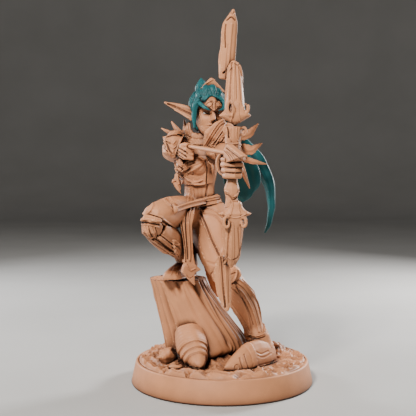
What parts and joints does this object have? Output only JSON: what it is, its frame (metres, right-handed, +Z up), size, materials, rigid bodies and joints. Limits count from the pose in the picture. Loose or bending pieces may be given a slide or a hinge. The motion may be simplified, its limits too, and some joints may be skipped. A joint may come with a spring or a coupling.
{
  "type": "tabletop miniature figure",
  "caption": "Sculpted fantasy archer miniature with painted hair, one boot up on a tree stump, drawing a tall recurve bow, on a round gaming base.",
  "frame": {"origin": "centre of the round base's flat underside", "axes": "+Z up from the table, -Y the way the archer aims, +X towards the archer's left"},
  "size_m": [0.025, 0.0278, 0.0491],
  "materials": {
    "resin": "satin, warm tan cast resin",
    "hair_paint": "satin acrylic paint, deep teal"
  },
  "bodies": {
    "root": {"arrow_head": "resin", "arrow_shaft": "resin", "base_disc": "resin", "belt": "resin", "bow_grip": "resin", "bow_lower_blade": "resin", "bow_lower_guard": "resin", "bow_lower_socket": "resin", "bow_upper_blade": "resin", "bow_upper_guard": "resin", "bow_upper_socket": "resin", "breastplate": "resin", "brow_plate": "resin", "collar": "resin", "comb": "resin", "front_tabard": "resin", "ground": "resin", "hair_cap": "hair_paint", "head": "resin", "hip_tasset": "resin", "left_boot": "resin", "left_bracer": "resin", "left_ear": "resin", "left_forearm": "resin", "left_greave": "resin", "left_hand": "resin", "left_knee_cop": "resin", "left_pauldron": "resin", "left_rock": "resin", "left_shoulder_leaf": "resin", "left_side_lock": "hair_paint", "left_thigh": "resin", "left_thorn_1": "resin", "left_thorn_2": "resin", "left_thorn_3": "resin", "left_thorn_4": "resin", "left_toe_cap": "resin", "left_upper_arm": "resin", "pelvis": "resin", "ponytail": "hair_paint", "ponytail_curl": "hair_paint", "rear_tabard": "resin", "right_boot": "resin", "right_ear": "resin", "right_forearm": "resin", "right_greave": "resin", "right_hand": "resin", "right_knee_cop": "resin", "right_pauldron": "resin", "right_rock": "resin", "right_side_lock": "hair_paint", "right_thigh": "resin", "right_toe_cap": "resin", "right_upper_arm": "resin", "root_stub": "resin", "stump": "resin", "top_knot": "hair_paint", "torso": "resin"}
  },
  "joints": []
}
